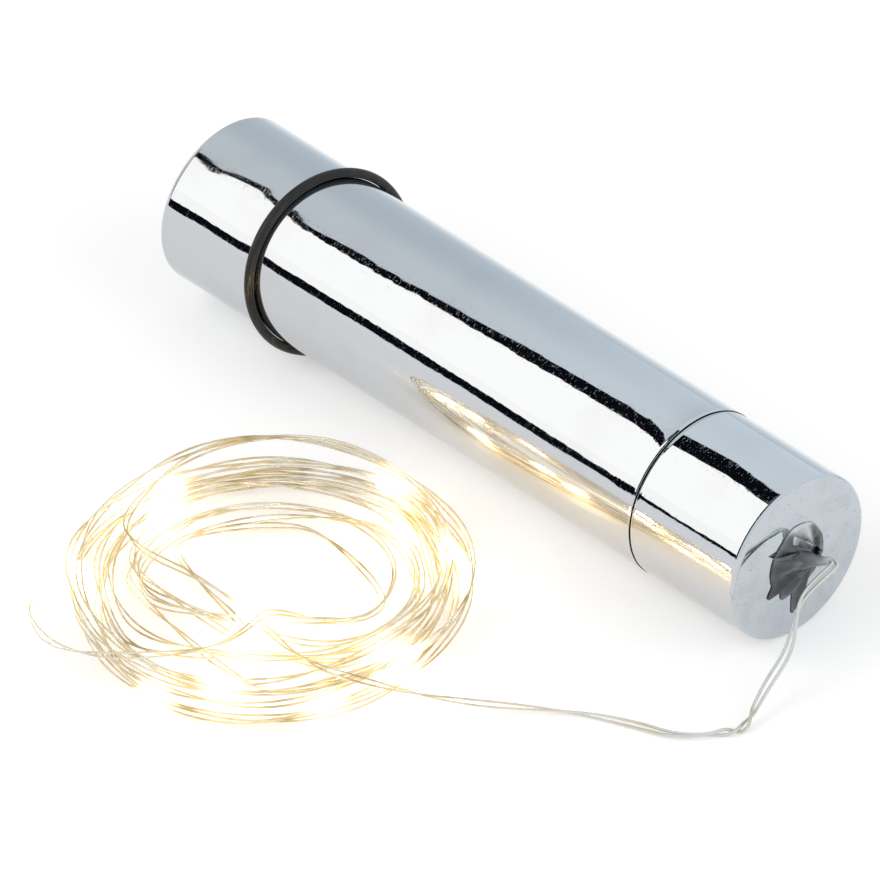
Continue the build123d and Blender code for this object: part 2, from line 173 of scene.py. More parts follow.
def bumped(height, depth):
    """A normal from a height that runs from 0 to 1, with its depth in millimetres."""
    return height.node("ShaderNodeBump", {}, {"Height": height, "Distance": depth * mm, "Strength": 1.0})


def turned(corners, rounds, steps=192):
    """A bmesh of a profile of (station, radius) corners, some rounded, spun about the tube's axis."""
    shape = bmesh.new()
    points = [shape.verts.new((station, radius, 0.0)) for station, radius in corners]
    for first, second in zip(points, points[1:]):
        shape.edges.new((first, second))
    for corner, (size, segments) in rounds.items():
        bmesh.ops.bevel(
            shape, geom=[points[corner]], offset=size, offset_type="OFFSET", affect="VERTICES",
            segments=segments, profile=0.5, material=-1,
        )
    bmesh.ops.spin(
        shape, geom=shape.verts[:] + shape.edges[:], cent=(0, 0, 0), axis=(1, 0, 0), angle=2 * pi,
        steps=steps, use_merge=True,
    )
    bmesh.ops.remove_doubles(shape, verts=shape.verts[:], dist=0.0005)
    bmesh.ops.recalc_face_normals(shape, faces=shape.faces[:])
    return shape


def new_piece(name, shape, place, finishes, crease=35.0):
    """An object from a bmesh, with its place in its mesh and its faces shaded smooth."""
    shape.transform(place)
    mesh = bpy.data.meshes.new(name)
    shape.to_mesh(mesh)
    shape.free()
    mesh.shade_smooth()
    mesh.set_sharp_from_angle(angle=radians(crease))
    for finish in finishes:
        mesh.materials.append(finish)
    piece = bpy.data.objects.new(name, mesh)
    bpy.context.scene.collection.objects.link(piece)
    return piece


# Chrome: faint finger smudges, dust specks, polishing lines, wiping hairs and slight waves
mirror_chrome, start = new_finish("mirror_chrome", {"Metallic": 1.0})
smudge = between(grain(start, 9.0, 4.0), 0.48, 0.72, 0.0, 1.0)
speck = between(grain(start, 0.35, 2.0), 0.70, 0.78, 0.0, 1.0)
lines = grain(start, 0.16, 2.0, (60.0, 1.0, 1.0))
hairs = between(grain(start, 0.09, 2.0, (1.0, 5.0, 5.0)), 0.58, 0.72, 0.0, 1.0)
waves = grain(start, 8.0, 1.0, (2.2, 1.0, 1.0))
dulled = smudge * 0.45 + speck * 0.3 + hairs * 0.05
feed(start, {"Base Color": blended(dulled, (0.63, 0.645, 0.665), (0.56, 0.57, 0.585))})
polish = 0.009 + smudge * 0.012 + speck * 0.14 + hairs * 0.13
feed(start, {"Roughness": polish + between(lines, 0.55, 0.8, 0.0, 0.008)})
feed(start, {"Normal": bumped(waves + lines * 0.02, 0.003)})

# Painted shade: near-black colour on the rounded outer edges at the seam, standing in for the dark of the
# hairline groove
seam_painted_shade, start = new_finish("seam_painted_shade", {"Metallic": 0.0, "Specular IOR Level": 0.2})
grit = grain(start, 0.2, 3.0)
feed(start, {"Base Color": blended(grit, (0.006, 0.006, 0.007), (0.030, 0.030, 0.032))})
feed(start, {"Roughness": 0.6 + grit * 0.2, "Normal": bumped(grit, 0.01)})
seam_shade_reach = 0.045
seam_shade_r = tube_r - 0.1


def on_edge(panel, edge_station):
    """Whether a face is part of the rounded outer edge at a station."""
    middle = panel.calc_center_median()
    return abs(middle.x - edge_station) < seam_shade_reach and middle.yz.length > seam_shade_r


barrel = turned(barrel_corners, barrel_rounds)
# The mouth's outer edge gets the seam's painted shade
for panel in barrel.faces:
    if on_edge(panel, mouth_station):
        panel.material_index = 1
barrel_shell = new_piece("barrel_shell", barrel, tube_place, [mirror_chrome, seam_painted_shade])
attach(barrel_shell, "barrel")
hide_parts("barrel_tube")

# Tail contact: a plated steel disc on the barrel's floor with a conical spring soldered to it.
# The spring presses on the cell's base, so the current goes through the barrel's wall.
spring_steel, start = new_finish("spring_steel", {"Metallic": 1.0})
drawn = grain(start, 0.4, 3.0)
worn = between(grain(start, 3.0, 4.0), 0.4, 0.7, 0.0, 1.0)
feed(start, {"Base Color": blended(worn, (0.55, 0.55, 0.56), (0.42, 0.42, 0.43))})
feed(start, {"Roughness": 0.24 + drawn * 0.16, "Normal": bumped(drawn, 0.01)})


def coat(nodes, finish):
    """Give CAD nodes a finish in place of their plain slot colour."""
    for name in nodes:
        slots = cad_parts[name].data.materials
        slots.clear()
        slots.append(finish)


coat(["spring_plate", "tail_spring"], spring_steel)

# Cell liner: a sleeve rolled from thin natural polypropylene that centres the cell in the bore
# and keeps it from the barrel's wall.
liner_plastic, start = new_finish("liner_plastic", {"Metallic": 0.0, "Specular IOR Level": 0.4})
cloud = grain(start, 2.5, 4.0)
feed(start, {"Base Color": blended(cloud, (0.72, 0.73, 0.72), (0.82, 0.83, 0.82))})
feed(start, {"Roughness": 0.38 + cloud * 0.18, "Normal": bumped(cloud, 0.02)})
coat(["cell_liner"], liner_plastic)

# Screw joint: a brass bush pressed into the barrel's mouth, and a brass collar pressed into the
# end cap. The collar's thread is rolled, with rounded crests. It shows when the barrel is unscrewed.
thread_pitch = 1.0
crest_r = 7.5
root_r = 7.08
collar_back = 56.8
collar_front = 71.2
collar_bore_r = 6.2
seat_r = 6.83
seat_end = 58.2
rim_r = 8.17
brass, start = new_finish("brass", {"Metallic": 1.0})
tarnish = between(grain(start, 4.0, 5.0), 0.42, 0.68, 0.0, 1.0)
cut = grain(start, 0.12, 2.0, (1.0, 12.0, 12.0))
feed(start, {"Base Color": blended(tarnish, (0.78, 0.57, 0.25), (0.52, 0.36, 0.16))})
feed(start, {"Roughness": 0.2 + tarnish * 0.16 + cut * 0.08, "Normal": bumped(cut, 0.006)})
coat(["thread_bush"], brass)

collar_corners = [
    (collar_back, seat_r),
    (collar_back, root_r),
    (seam_station, root_r),
    (seam_station, rim_r),
    (collar_front, rim_r),
    (collar_front, collar_bore_r),
    (seat_end, collar_bore_r),
    (seat_end, seat_r),
    (collar_back, seat_r),
]
rim_edge = 4
collar = turned(collar_corners, {rim_edge: (0.25, 4)}, 144)
thread_turns = seam_station - collar_back - thread_pitch
sunk_r = root_r - 0.05
crest = [
    collar.verts.new((collar_back + 0.5 * thread_pitch + share * thread_pitch, radius, 0.0))
    for share, radius in ((-0.42, sunk_r), (-0.12, crest_r), (0.12, crest_r), (0.42, sunk_r))
]
ridge = [collar.edges.new(pair) for pair in zip(crest, crest[1:])]
steps_per_turn = 72
bmesh.ops.spin(
    collar, geom=crest + ridge, cent=(0, 0, 0), axis=(1, 0, 0), angle=2 * pi * thread_turns,
    steps=int(steps_per_turn * thread_turns), dvec=(thread_pitch / steps_per_turn, 0, 0),
)
bmesh.ops.recalc_face_normals(collar, faces=collar.faces[:])
collar_ring = new_piece("collar_ring", collar, tube_place, [brass])
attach(collar_ring, "string_cap")
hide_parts("thread_collar")

# Cell: one plain AA cell. A steel can with a crimped base and a pressed button, in a shrunk sleeve
# that is left without print, dark over most of its length with a light band at the button.
cell_metal, start = new_finish("cell_metal", {"Metallic": 1.0})
rub = grain(start, 1.2, 4.0)
feed(start, {"Base Color": blended(rub, (0.62, 0.62, 0.61), (0.74, 0.74, 0.73))})
feed(start, {"Roughness": 0.2 + rub * 0.2, "Normal": bumped(rub, 0.008)})
coat(["cell_body", "cell_base", "cell_button"], cell_metal)

cell_sleeve, start = new_finish("cell_sleeve", {"Metallic": 0.0, "Coat Weight": 0.3})
band_edge = closed_end.x + 43.0 * mm
reach = start.node("ShaderNodeSeparateXYZ", {}, {"Vector": own_place(start)}, "X")
shrink = grain(start, 1.6, 3.0)
fade = grain(start, 6.0, 3.0)
dark_sleeve = blended(fade, (0.018, 0.030, 0.026), (0.030, 0.045, 0.040))
feed(start, {"Base Color": blended(reach > band_edge, dark_sleeve, (0.62, 0.60, 0.52))})
feed(start, {"Roughness": 0.25 + shrink * 0.12, "Normal": bumped(shrink, 0.02)})
coat(["cell_jacket"], cell_sleeve)

# Stop ring: a moulded rubber cord ring, stretched over the tube and pushed askew. It grips by
# friction, keeps a faint mould line round its outside, has lighter streaks painted on as sheen
# and picks up dust.
ring_station = 14.5
ring_section_r = 0.46
ring_room = 0.028
ring_path_r = tube_r + ring_section_r + ring_room
ring_lean_across, ring_lean_up = 0.13165, -0.14410
stop_rubber, start = new_finish("stop_rubber", {"Metallic": 0.0, "Specular IOR Level": 0.42})
skin = grain(start, 0.28, 4.0)
bloom = between(grain(start, 2.4, 5.0), 0.5, 0.75, 0.0, 1.0)
dust = between(grain(start, 0.12, 2.0), 0.68, 0.74, 0.0, 1.0)
# Painted sheen: lighter brown streaks along the ring stand in for its highlights
sheen_streaks = between(grain(start, 0.3, 1.0, (1.0, 24.0, 24.0)), 0.4, 0.75, 0.0, 1.0)
black_brown = blended(bloom, (0.006, 0.004, 0.003), (0.032, 0.022, 0.014))
sheen_brown = blended(sheen_streaks * 0.55, black_brown, (0.075, 0.054, 0.036))
feed(start, {"Base Color": blended(dust * 0.5, sheen_brown, (0.22, 0.20, 0.18))})
feed(start, {"Roughness": 0.05 + skin * 0.11 + sheen_streaks * 0.12 + dust * 0.25})
feed(start, {"Normal": bumped(skin, 0.006)})

ring = bmesh.new()
bmesh.ops.create_circle(
    ring, cap_ends=False, segments=28, radius=ring_section_r,
    matrix=Matrix.Translation((0, ring_path_r, 0)),
)
mould_line = 0.02
for corner in ring.verts:
    if corner.co.y > ring_path_r + 0.999 * ring_section_r:
        corner.co.y += mould_line
bmesh.ops.spin(
    ring, geom=ring.verts[:] + ring.edges[:], cent=(0, 0, 0), axis=(1, 0, 0), angle=2 * pi,
    steps=160, use_merge=True,
)
bmesh.ops.remove_doubles(ring, verts=ring.verts[:], dist=0.0005)
bmesh.ops.recalc_face_normals(ring, faces=ring.faces[:])
for corner in ring.verts:
    corner.co.x += ring_lean_across * corner.co.y + ring_lean_up * corner.co.z
ring_place = tube_place @ Matrix.Translation((ring_station, 0, 0))
rubber_ring = new_piece("rubber_ring", ring, ring_place, [stop_rubber], 60.0)
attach(rubber_ring, "stop_ring")
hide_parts("stop_ring")

# End cap: drawn from the same sheet as the barrel and chromed. Its flat face is handled most,
# so it is scuffed and specked, and it has a punched hole for the string.
hole_r = 3.2
hole_rim_r = 3.6
face_rim_r = 8.2
skirt_start = 65.6
skirt_end = 78.3
cap_corners = [
    (seam_station, bore_r),
    (seam_station, tube_r),
    (skirt_start, tube_r),
    (skirt_end, tube_r),
    (face_station, tube_r),
    (face_station, face_rim_r),
    (face_station, hole_rim_r),
    (face_station, hole_r),
    (face_station - wall, hole_r),
    (face_station - wall, bore_r),
    (seam_station, bore_r),
]
skirt_edge, face_edge, hole_edge = 1, 4, 7
cap_rounds = {skirt_edge: (0.09, 4), face_edge: (0.4, 8), hole_edge: (0.15, 4)}
face_chrome, start = new_finish("face_chrome", {"Metallic": 1.0})
patches = between(grain(start, 2.4, 5.0), 0.44, 0.62, 0.0, 1.0)
scuffs = between(grain(start, 0.5, 3.0), 0.54, 0.70, 0.0, 1.0)
dirt = between(grain(start, 0.28, 2.0), 0.67, 0.73, 0.0, 1.0)
face_tone = blended(patches * 0.6 + scuffs * 0.4, (0.62, 0.665, 0.705), (0.545, 0.59, 0.635))
feed(start, {"Base Color": blended(dirt * 0.6, face_tone, (0.20, 0.21, 0.22))})
feed(start, {"Roughness": 0.012 + patches * 0.012 + scuffs * 0.05})
feed(start, {"Normal": bumped(scuffs, 0.0003)})
cap = turned(cap_corners, cap_rounds)
face_depth = 0.02
# The face gets the scuffed finish, and the outer edge at the seam gets the seam's painted shade
for panel in cap.faces:
    if panel.calc_center_median().x > face_station - face_depth:
        panel.material_index = 1
    elif on_edge(panel, seam_station):
        panel.material_index = 2
cap_shell = new_piece("cap_shell", cap, tube_place, [mirror_chrome, face_chrome, seam_painted_shade])
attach(cap_shell, "string_cap")
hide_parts("end_cap")

# Driver: a small round board held in the collar, with a chip, a wound ferrite coil, a ceramic
# capacitor and a diode soldered on, and a brass contact in a foam ring for the cell's button.
board_green, start = new_finish("board_green", {"Metallic": 0.0, "Coat Weight": 0.4})
weave = start.node(
    "ShaderNodeTexBrick", {"offset": 0.5},
    {
        "Vector": own_place(start), "Scale": 1.0 / (3.0 * mm),
        "Color1": (0.010, 0.085, 0.035, 1.0), "Color2": (0.016, 0.120, 0.050, 1.0),
        "Mortar": (0.030, 0.170, 0.075, 1.0), "Mortar Size": 0.06,
    },
)
mask = grain(start, 0.5, 3.0)
feed(start, {"Base Color": weave, "Roughness": 0.28 + mask * 0.14, "Normal": bumped(mask, 0.01)})
coat(["driver_board"], board_green)
coat(["positive_contact"], brass)

cell_foam, start = new_finish("cell_foam", {"Metallic": 0.0})
pores = start.node(
    "ShaderNodeTexVoronoi", {"feature": "F1"},
    {"Vector": own_place(start), "Scale": 1.0 / (0.35 * mm)},
)
feed(start, {"Base Color": blended(pores, (0.02, 0.02, 0.022), (0.09, 0.09, 0.095))})
feed(start, {"Roughness": 0.8 + pores * 0.15, "Normal": bumped(pores, 0.12)})
coat(["contact_foam"], cell_foam)

moulded_black, start = new_finish("moulded_black", {"Metallic": 0.0})
matt = grain(start, 0.09, 3.0)
feed(start, {"Base Color": blended(matt, (0.012, 0.012, 0.013), (0.034, 0.034, 0.036))})
feed(start, {"Roughness": 0.45 + matt * 0.2, "Normal": bumped(matt, 0.01)})
coat(["driver_chip", "rectifier"], moulded_black)

ferrite, start = new_finish("ferrite", {"Metallic": 0.0})
sinter = grain(start, 0.12, 4.0)
feed(start, {"Base Color": blended(sinter, (0.040, 0.038, 0.037), (0.095, 0.090, 0.086))})
feed(start, {"Roughness": 0.5 + sinter * 0.3, "Normal": bumped(sinter, 0.02)})
coat(["inductor_core"], ferrite)

enamelled_copper, start = new_finish("enamelled_copper", {"Metallic": 1.0, "Coat Weight": 0.5})
wraps = grain(start, 0.22, 2.0, (1.0, 8.0, 8.0))
feed(start, {"Base Color": blended(wraps, (0.46, 0.17, 0.07), (0.72, 0.33, 0.15))})
feed(start, {"Roughness": 0.22 + wraps * 0.16, "Normal": bumped(wraps, 0.05)})
coat(["inductor_winding"], enamelled_copper)

ceramic, start = new_finish("ceramic", {"Metallic": 0.0})
glaze = grain(start, 0.2, 3.0)
feed(start, {"Base Color": blended(glaze, (0.42, 0.29, 0.17), (0.54, 0.39, 0.24))})
feed(start, {"Roughness": 0.35 + glaze * 0.2, "Normal": bumped(glaze, 0.01)})
coat(["capacitor"], ceramic)

# Joints of the string to the board: tin solder cones round the string's two stripped ends, which
# come through the glue in thin clear enamel.
solder, start = new_finish("solder", {"Metallic": 1.0})
flow = grain(start, 0.5, 4.0)
feed(start, {"Base Color": blended(flow, (0.60, 0.60, 0.61), (0.76, 0.76, 0.77))})
feed(start, {"Roughness": 0.18 + flow * 0.25, "Normal": bumped(flow, 0.03)})
coat(["solder_joints"], solder)

lead_enamel, start = new_finish("lead_enamel", {"Metallic": 1.0, "Coat Weight": 0.4})
scrape = grain(start, 0.6, 3.0)
feed(start, {"Base Color": blended(scrape, (0.60, 0.57, 0.52), (0.72, 0.69, 0.62))})
feed(start, {"Roughness": 0.2 + scrape * 0.2, "Normal": bumped(scrape, 0.01)})
coat(["inner_leads"], lead_enamel)

# Glue plug: grey hot-melt pushed through the cap's hole over the string. It set in soft folds that
# are smeared on the face, with a few thin tongues, a bent stalk and a pale flag at its tip.
glue_back = 76.45
glue_pad_r = 4.8
glue_gap = 0.02
cap_inside = face_station - wall
plug_top = face_station + 0.1
tip_station = 82.2
tip_aside = 1.45
tip_rise = 0.7
glue_corners = [
    (glue_back, 0.0),
    (glue_back, glue_pad_r),
    (cap_inside - glue_gap, glue_pad_r),
    (cap_inside - glue_gap, hole_r - glue_gap),
    (plug_top, hole_r - glue_gap),
    (79.3, 2.0),
    (79.7, 1.15),
    (80.5, 0.66),
    (81.4, 0.5),
    (tip_station, 0.42),
    (tip_station, 0.0),
]
pad_edge, tip_edge = 1, 9
stalk_edges = (5, 6, 7, 8)
glue_rounds = {pad_edge: (0.6, 4), **dict.fromkeys(stalk_edges, (0.3, 4)), tip_edge: (0.25, 4)}


def near(angle, middle, width):
    """A smooth hump round a direction, from 0 at its width to 1 in the middle, in degrees."""
    away = abs((angle - middle + 180.0) % 360.0 - 180.0)
    return max(0.0, cos(0.5 * pi * min(1.0, away / width))) ** 2


def rising(value, low, high):
    """A smooth step from 0 at one value to 1 at another."""
    share = min(1.0, max(0.0, (value - low) / (high - low)))
    return share * share * (3.0 - 2.0 * share)


def drawn_out(station):
    """How far the glue at a station has been drawn aside, from 0 at the hole to 1 at its tip."""
    return max(0.0, (station - plug_top) / (tip_station - plug_top)) ** 1.3


def thicken(shape, corners, thickness):
    """Give a sheet, found by its corners, a second side that far out from the cap's face."""
    sheet = dict.fromkeys(face for corner in corners if corner.is_valid for face in corner.link_faces)
    made = bmesh.ops.extrude_face_region(shape, geom=list(sheet))["geom"]
    raised = [corner for corner in made if isinstance(corner, bmesh.types.BMVert)]
    bmesh.ops.translate(shape, verts=raised, vec=(thickness, 0, 0))


def painted(start, name):
    """A value that is stored on the piece's vertices."""
    return start.node("ShaderNodeAttribute", {"attribute_name": name}, {}, "Fac")


def ramp(signal, stops):
    """A colour that follows a signal through stops of (level, colour)."""
    return signal.node("ShaderNodeValToRGB", {"stops": stops}, {"Fac": signal})


glue = turned(glue_corners, glue_rounds, 96)
# Tone of the glue at each vertex, stored as "fold"; on the smeared folds it carries painted shade and
# light
shade = glue.verts.layers.float.new("fold")
for corner in glue.verts:
    drawn_share = drawn_out(corner.co.x)
    corner[shade] = 0.22 + 0.65 * drawn_share
    corner.co.y += tip_aside * drawn_share
    corner.co.z += tip_rise * drawn_share

# Edge of the smeared folds: direction from +Y through up, and reach from the hole's middle
smear_edge = [
    (0, 3.3), (30, 3.4), (67, 3.9), (98, 4.0), (130, 3.6), (163, 3.6), (190, 3.7), (203, 3.8),
    (214, 4.9), (226, 3.5), (240, 4.4), (250, 3.5), (257, 3.9), (262, 6.4), (267, 3.8), (276, 3.4),
    (300, 3.3), (360, 3.3),
]
smear_root = 0.9
root_aside, root_up = 1.1, 0.35
smear_t = 0.1
# Layers of folds: turn in degrees, share of the reach, lift, painted shade
for layer_turn, layer_share, layer_lift, layer_painted_shade in ((0.0, 1.0, 0.03, 0.0), (118.0, 0.66, 0.2, 0.1)):
    smear = bmesh.ops.create_grid(glue, x_segments=200, y_segments=16, size=0.5)["verts"]
    for corner in smear:
        direction = 360.0 * (corner.co.x + 0.5)
        out_share = corner.co.y + 0.5
        spread = (direction + layer_turn) % 360.0 if layer_turn else direction
        for (first_at, first_r), (second_at, second_r) in zip(smear_edge, smear_edge[1:]):
            if first_at <= spread <= second_at:
                reach = first_r + (second_r - first_r) * rising(spread, first_at, second_at)
        radius = smear_root + (layer_share * reach - smear_root) * out_share
        turn = radians(direction + 7.0 * sin(3.0 * out_share + layer_turn))
        fold = 0.5 + 0.26 * sin(4.0 * turn + 0.8 + 2.2 * out_share)
        fold += 0.16 * sin(7.0 * turn - 0.7 - 3.0 * out_share)
        fold += 0.12 * sin(13.0 * turn + 4.0 * out_share + layer_turn)
        rise = 1.0 * (1.0 - out_share) ** 1.4 * (0.3 + 0.7 * fold) + 0.3 * sin(pi * out_share) * fold
        rise += 0.25 * sin(pi * out_share) * near(direction, 220.0, 50.0)
        pale = near(direction, 88.0, 66.0) * out_share
        # Painted shade and light on the folds: valleys darker than crests, the lower layer darker than
        # the upper, and the thin outer rims lighter as if lit through
        rim_painted_light = 0.2 * rising(out_share, 0.8, 1.0)
        crest_painted_shade = 0.62 * max(0.0, fold) ** 1.6 * (1.0 - 0.3 * out_share)
        corner[shade] = layer_painted_shade + crest_painted_shade + 0.75 * pale + rim_painted_light
        corner.co = (
            face_station + layer_lift + rise,
            radius * cos(turn) + root_aside * (1.0 - out_share),
            radius * sin(turn) + root_up * (1.0 - out_share),
        )
    bmesh.ops.remove_doubles(glue, verts=smear, dist=0.0005)
    thicken(glue, smear, smear_t)

# Flag of thin glue that hangs from the stalk's tip
flag = bmesh.ops.create_grid(glue, x_segments=6, y_segments=10, size=0.5)["verts"]
for corner in flag:
    drop = corner.co.y + 0.5
    broad = corner.co.x * (0.8 - 0.5 * abs(drop - 0.4))
    corner[shade] = 1.1
    corner.co = (
        tip_station - 0.05 + 0.22 * sin(5.0 * drop + 2.0 * broad),
        tip_aside + 0.35 + broad - 0.3 * drop,
        tip_rise - 0.25 - 2.2 * drop,
    )
flag_t = 0.07
thicken(glue, flag, flag_t)
bmesh.ops.recalc_face_normals(glue, faces=glue.faces[:])

hot_melt, start = new_finish(
    "hot_melt", {"Metallic": 0.0, "Coat Weight": 0.3, "Specular IOR Level": 0.5}
)
fold_shade = painted(start, "fold")
stringy = grain(start, 0.7, 4.0)
glue_tones = [
    (0.0, (0.018, 0.020, 0.023)),
    (0.3, (0.07, 0.077, 0.086)),
    (0.6, (0.20, 0.218, 0.236)),
    (1.0, (0.74, 0.76, 0.78)),
]
glue_tone = ramp(fold_shade + (stringy - 0.5) * 0.35, glue_tones)
feed(start, {"Base Color": glue_tone, "Roughness": 0.22 + stringy * 0.2})
feed(start, {"Normal": bumped(stringy, 0.05)})
glue_piece = new_piece("glue_folds", glue, tube_place, [hot_melt], 110.0)
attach(glue_piece, "string_cap")
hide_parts("glue_plug")

# LED string: two thin enamelled copper wires, silver plated, laid side by side with a slow twist.
# They leave the glue, drop to the surface, cross over the coil, go round it and end in a free hook.
# The route's points are the ones the solid follows. The coil's turns are loosened round them.
string_d = 0.75
string_length = 1411.8
glue_tip = closed_end + (along * tip_station + across * tip_aside + upward * tip_rise) * mm
coil_middle = Vector((-0.75, -32.25))
coil_floor = 0.8
least_height = 0.79
layer_step = 1.3
coil_outer_r = 18.7
coil_inner_r = 10.5
coil_start_angle = 188.0
points_per_turn = 14

# Stretches of the coil: turns, radius at start and end, layers dropped
coil_stretches = [
    (1.308, 15.6355, coil_outer_r, 0),
    (0.5, coil_outer_r, coil_outer_r, 1),
    (3.5, coil_outer_r, coil_inner_r, 0),
    (0.5, coil_inner_r, coil_inner_r, 1),
    (3.5, coil_inner_r, coil_outer_r, 0),
    (0.5, coil_outer_r, coil_outer_r, 1),
    (3.5, coil_outer_r, coil_inner_r, 0),
]
coil_turns = sum(stretch[0] for stretch in coil_stretches)


def wound(turn):
    """Radius and height of the tidy coil after that many turns."""
    height = coil_floor + 3 * layer_step
    for turns, first_r, last_r, layers in coil_stretches:
        share = min(1.0, turn / turns)
        if turn <= turns:
            break
        turn -= turns
        height -= layers * layer_step
    return first_r + (last_r - first_r) * share, height - layers * layer_step * share


# The turns lie in bundles at both sides and in two bundles at the back, pinched at the right. At the
# front the outer ones bulge and are gathered, and the inner ones cut across the opening: turn, least
# distance from the middle, direction
bunching = 0.85
top_turns = 1.25
coil_chords = {
    3: (12.6, 302.0),
    4: (8.8, 286.0),
    5: (6.2, 302.0),
    6: (7.8, 271.0),
    7: (11.2, 316.0),
    11: (10.2, 261.0),
    12: (4.7, 258.0),
}
spring_back = random.Random(11)
coil_points = []
for step in range(1, int(coil_turns * points_per_turn)):
    turn = step / points_per_turn
    angle = coil_start_angle - 360.0 * turn
    tidy_r, height = wound(turn)
    layer = (coil_floor + 3 * layer_step - height) / layer_step
    outer_share = (tidy_r - coil_inner_r) / (coil_outer_r - coil_inner_r)
    at_side = near(angle, 45.0, 75.0) + near(angle, 225.0, 75.0)
    at_back = near(angle, 135.0, 75.0)
    side_r = 12.9 + 5.9 * outer_share
    inner_back_r = 10.2 + 1.4 * outer_share
    outer_back_r = 15.5 + 2.7 * outer_share
    back_r = inner_back_r + (outer_back_r - inner_back_r) * rising(outer_share, 0.22, 0.42)
    radius = tidy_r + bunching * (at_side * (side_r - tidy_r) + at_back * (back_r - tidy_r))
    bulge = 0.4 * near(angle, 205.0, 50.0) + 2.1 * near(angle, 318.0, 50.0) * min(1.0, layer / 2)
    slow_wave, quick_wave = sin(2 * pi * 1.618 * turn), sin(2 * pi * 2.71 * turn + 1.0)
    radius += bulge * outer_share + 0.5 * slow_wave + 0.35 * quick_wave
    gathered = 0.75 * near(angle, 290.0, 55.0) * rising(outer_share, 0.3, 0.55)
    radius += gathered * (18.4 + 1.8 * outer_share - radius)
    pinched = 0.8 * near(angle, 93.0, 34.0) * rising(outer_share, 0.22, 0.42)
    radius += pinched * (17.4 + 1.0 * outer_share - radius)
    if int(turn) in coil_chords:
        chord_r, chord_angle = coil_chords[int(turn)]
        facing = cos(radians(angle - chord_angle))
        if facing > 0.2:
            radius = -log(exp(-radius) + exp(-chord_r / facing))
    radius += spring_back.uniform(-0.26, 0.26) * (1.0 - 0.5 * max(at_side, at_back))
    height += spring_back.uniform(-0.1, 0.1) + 0.25 * sin(2 * pi * 1.3 * turn)
    if turn < top_turns:
        height += 0.9 * at_back
        radius += 0.5 * at_back
    radius /= cos(pi / points_per_turn)
    turned_to = radians(angle)
    flat = coil_middle + Vector((cos(turned_to), sin(turned_to))) * radius
    coil_points.append(Vector((flat.x, flat.y, max(height, least_height))))

lead_points = [
    (41.7, 0.8, 9.2),
    (41.8, -0.8, 8.95),
    (41.95, -3.5, 8.2),
    (42.5, -4.9, 6.3),
    (43.6, -6.9, 4.3),
    (44.1, -10.2, 2.6),
    (44.7, -12.4, 1.4),
    (45.4, -14.5, 0.45),
    (45.1, -15.3, 0.4),
    (43.6, -17.6, 0.4),
    (41.5, -20.0, 0.4),
    (38.0, -21.3, 0.4),
    (33.0, -23.7, 0.4),
    (28.8, -26.9, 0.5),
    (26.0, -30.8, 1.6),
    (23.8, -35.6, 3.9),
    (20.8, -39.4, 5.8),
    (16.55, -41.65, 6.3),
    (11.55, -41.35, 5.6),
    (6.95, -40.05, 5.0),
    (1.55, -39.05, 4.85),
    (-4.25, -38.95, 4.75),
    (-10.95, -39.95, 4.7),
    (-15.9, -38.0, 4.7),
]
tail_points = [
    (8.2, -24.9, 1.3),
    (10.1, -30.0, 2.4),
    (9.0, -35.0, 4.3),
    (5.85, -38.85, 6.2),
    (7.25, -42.65, 6.8),
    (7.25, -46.55, 6.6),
    (3.95, -50.35, 5.9),
    (-0.65, -52.95, 4.6),
    (-5.25, -53.55, 2.9),
    (-9.85, -52.95, 1.3),
    (-14.05, -51.35, 0.8),
    (-16.35, -48.75, 0.8),
    (-16.65, -45.75, 0.8),
]
route_points = [glue_tip, glue_tip + along * 0.5 * mm]
route_points += [Vector(point) * mm for point in lead_points]
route_points += [point * mm for point in coil_points]
route_points += [Vector(point) * mm for point in tail_points]


def as_mesh(curve):
    """The mesh of a curve, which is then removed."""
    holder = bpy.data.objects.new(curve.name, curve)
    bpy.context.scene.collection.objects.link(holder)
    mesh = bpy.data.meshes.new_from_object(holder.evaluated_get(bpy.context.evaluated_depsgraph_get()))
    bpy.data.objects.remove(holder)
    bpy.data.curves.remove(curve)
    return mesh


def flexible_line(name, points, steps):
    """A smooth NURBS line through space, read back as points along it."""
    line = bpy.data.curves.new(name, "CURVE")
    line.dimensions = "3D"
    line.resolution_u = steps
    spline = line.splines.new("NURBS")
    spline.points.add(len(points) - 1)
    for knot, point in zip(spline.points, points):
        knot.co = (*point, 1.0)
    spline.order_u = 3
    spline.use_endpoint_u = True
    read = as_mesh(line)
    found = [vertex.co.copy() for vertex in read.vertices]
    bpy.data.meshes.remove(read)
    return found


string_path = flexible_line("string_route", route_points, 6)
distances = [0.0]
for first, second in zip(string_path, string_path[1:]):
    distances.append(distances[-1] + (second - first).length)

wire_r = 0.105 * mm
wire_apart = 0.262 * mm
first_twist = 0.35
twist_length = 28.0 * mm
drop_opening = 0.16 * mm
drop_middle = 9.5 * mm
drop_reach = 4.5 * mm
extra_twist_at = (17.0 * mm, 23.0 * mm)
thick_lead = 1.6
lead_fade = (20.0 * mm, 42.0 * mm)
wire_lines = [[], []]
for number, point in enumerate(string_path):
    before = string_path[max(0, number - 1)]
    after = string_path[min(len(string_path) - 1, number + 1)]
    heading = (after - before).normalized()
    level = heading.cross(Vector((0, 0, 1)))
    level = level.normalized() if level.length > 0.05 else Vector((0, 1, 0))
    over = level.cross(heading).normalized()
    travelled = distances[number]
    twist = 2 * pi * (travelled / twist_length + rising(travelled, *extra_twist_at)) + first_twist
    opened = drop_opening * exp(-((travelled - drop_middle) / drop_reach) ** 2)
    aside = (level * cos(twist) + over * sin(twist)) * (wire_apart + opened)
    for sign, wire_line in zip((1.0, -1.0), wire_lines):
        wire_line.append(point + aside * sign)

